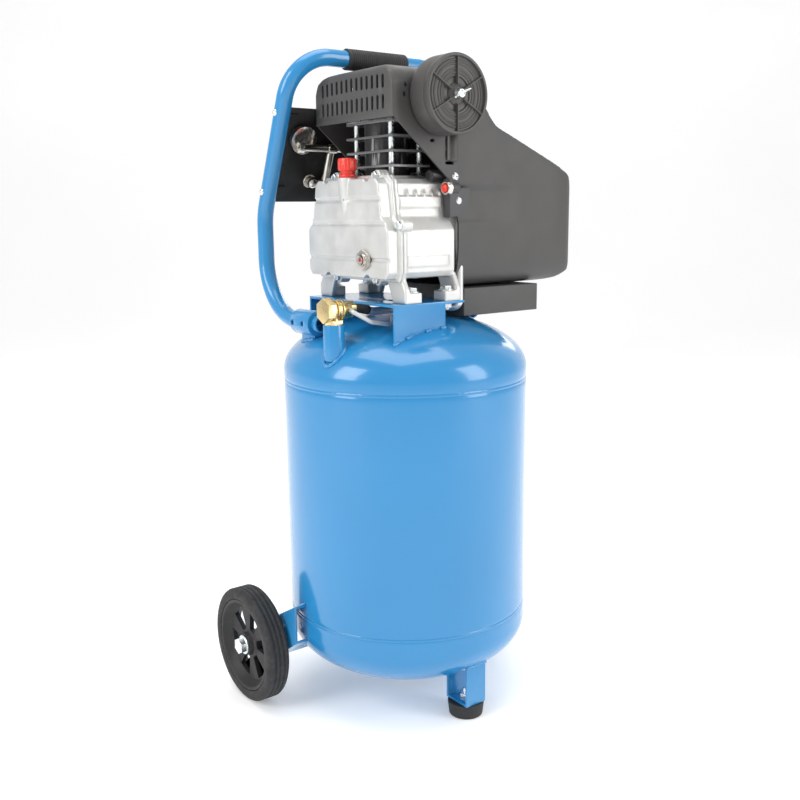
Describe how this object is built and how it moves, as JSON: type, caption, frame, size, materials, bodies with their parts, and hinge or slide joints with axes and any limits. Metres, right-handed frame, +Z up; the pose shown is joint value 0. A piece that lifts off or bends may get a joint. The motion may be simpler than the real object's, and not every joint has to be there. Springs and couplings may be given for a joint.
{
  "type": "air compressor",
  "caption": "Upright wheeled air compressor: a vertical tank carries a direct-driven piston pump and motor, with a leaning push handle and a control panel.",
  "frame": {"origin": "on the floor, under the middle of the whole machine's bounding box", "axes": "+Z up; +X along the crankshaft towards the motor's fan end; +Y towards the wheels and handle, where the user stands"},
  "size_m": [0.4328, 0.321, 0.7985],
  "materials": {
    "tank_blue": "gloss paint",
    "cast_alloy": "sand-cast, satin",
    "black_cover": "fine moulded grain",
    "black_iron": "satin black casting",
    "black_panel": "satin black paint",
    "black_plastic": "moulded",
    "filter_black": "semi-gloss",
    "rim_grey": "moulded",
    "tyre_rubber": "dull",
    "rubber": "dull",
    "zinc": "bright zinc",
    "brass": "machined",
    "nickel": "nickel plate",
    "tube_alloy": "drawn",
    "steel": "machined",
    "iron": "machined casting",
    "red_plastic": "gloss",
    "switch_plastic": "moulded",
    "needle_black": "matte",
    "paper": "pleated paper",
    "hose_grey": "tube"
  },
  "bodies": {
    "machine": {"tank_shell": "tank_blue", "tank_top_head": "tank_blue", "tank_bottom_head": "tank_blue", "foot_bracket": "tank_blue", "rubber_foot": "rubber", "bolts": "zinc", "wheel_brackets": "tank_blue", "axle_bolts": "zinc", "drain_valve_body": "brass", "pump_platform": "tank_blue", "crankcase": "cast_alloy", "crankcase_cover": "cast_alloy", "oil_filler_plug": "red_plastic", "sight_glass": "nickel", "cylinder": "black_iron", "cylinder_studs": "zinc", "valve_plate": "steel", "cylinder_head": "black_iron", "piston": "cast_alloy", "wrist_pin": "steel", "connecting_rod": "cast_alloy", "crank": "iron", "main_bearings": "steel", "stator": "iron", "motor_housing": "cast_alloy", "motor_cover": "black_cover", "capacitor_box": "black_cover", "overload_switch": "black_plastic", "filter_housing": "filter_black", "filter_cover": "filter_black", "filter_element": "paper", "filter_wing_nut": "zinc", "discharge_pipe": "tube_alloy", "unloader_tube": "hose_grey", "supply_pipe": "tube_alloy", "check_valve": "brass", "handle_frame": "tank_blue", "handle_grip": "rubber", "handle_sockets": "tank_blue", "control_panel": "black_panel", "pressure_switch": "switch_plastic", "manifold": "nickel", "gauge_cases": "nickel", "coupler_body": "nickel", "safety_valve": "brass"},
    "left_wheel": {"left_wheel_rim": "rim_grey", "left_tyre": "tyre_rubber"},
    "right_wheel": {"right_wheel_rim": "rim_grey", "right_tyre": "tyre_rubber"},
    "rotating_group": {"motor_shaft": "steel", "rotor": "iron", "cooling_fan": "black_plastic"},
    "reset_button": {"overload_button": "red_plastic"},
    "switch_pull": {"switch_knob": "red_plastic"},
    "regulator": {"regulator_knob": "black_plastic"},
    "tank_needle": {"tank_gauge_needle": "needle_black"},
    "outlet_needle": {"outlet_gauge_needle": "needle_black"},
    "release_sleeve": {"coupler_sleeve": "nickel"},
    "relief_ring": {"safety_valve_ring": "nickel"},
    "drain_knob": {"drain_valve_knob": "brass"}
  },
  "joints": [
    {"name": "left_wheel_spin", "type": "hinge", "parent": "machine", "child": "left_wheel", "pos_m": [-0.1966, 0.0745, 0.072], "axis": [1, 0, 0], "continuous": true},
    {"name": "right_wheel_spin", "type": "hinge", "parent": "machine", "child": "right_wheel", "pos_m": [0.1714, 0.0745, 0.072], "axis": [1, 0, 0], "continuous": true},
    {"name": "motor_spin", "type": "hinge", "parent": "machine", "child": "rotating_group", "pos_m": [-0.0126, -0.0115, 0.59], "axis": [1, 0, 0], "continuous": true},
    {"name": "reset_button_press", "type": "slide", "parent": "machine", "child": "reset_button", "axis": [1, 0, 0], "range_m": [0, 0.003], "stiffness_N_per_m": 400, "springref_m": -0.001},
    {"name": "switch_pull", "type": "slide", "parent": "machine", "child": "switch_pull", "axis": [0, -0.3871, 0.922], "range_m": [0, 0.008]},
    {"name": "regulator_turn", "type": "hinge", "parent": "machine", "child": "regulator", "pos_m": [-0.0406, 0.08272, 0.69259], "axis": [0, 0.922, 0.3871], "range_deg": [-540, 540]},
    {"name": "tank_needle_swing", "type": "hinge", "parent": "machine", "child": "tank_needle", "pos_m": [-0.0956, 0.09131, 0.70054], "axis": [0, -0.922, -0.3871], "range_deg": [0, 270], "stiffness_Nm_per_rad": 0.0005, "springref_deg": -11.46},
    {"name": "outlet_needle_swing", "type": "hinge", "parent": "machine", "child": "outlet_needle", "pos_m": [0.0174, 0.09286, 0.69685], "axis": [0, -0.922, -0.3871], "range_deg": [0, 270], "stiffness_Nm_per_rad": 0.0005, "springref_deg": -11.46},
    {"name": "coupler_release", "type": "slide", "parent": "machine", "child": "release_sleeve", "axis": [0, -0.922, -0.3871], "range_m": [0, 0.005], "stiffness_N_per_m": 800, "springref_m": -0.001},
    {"name": "relief_pull", "type": "slide", "parent": "machine", "child": "relief_ring", "axis": [0, 0.3871, -0.922], "range_m": [0, 0.005], "stiffness_N_per_m": 800, "springref_m": -0.001},
    {"name": "drain_turn", "type": "hinge", "parent": "machine", "child": "drain_knob", "pos_m": [-0.0126, -0.0115, 0.01], "axis": [0, 0, 1], "range_deg": [-360, 360]}
  ]
}
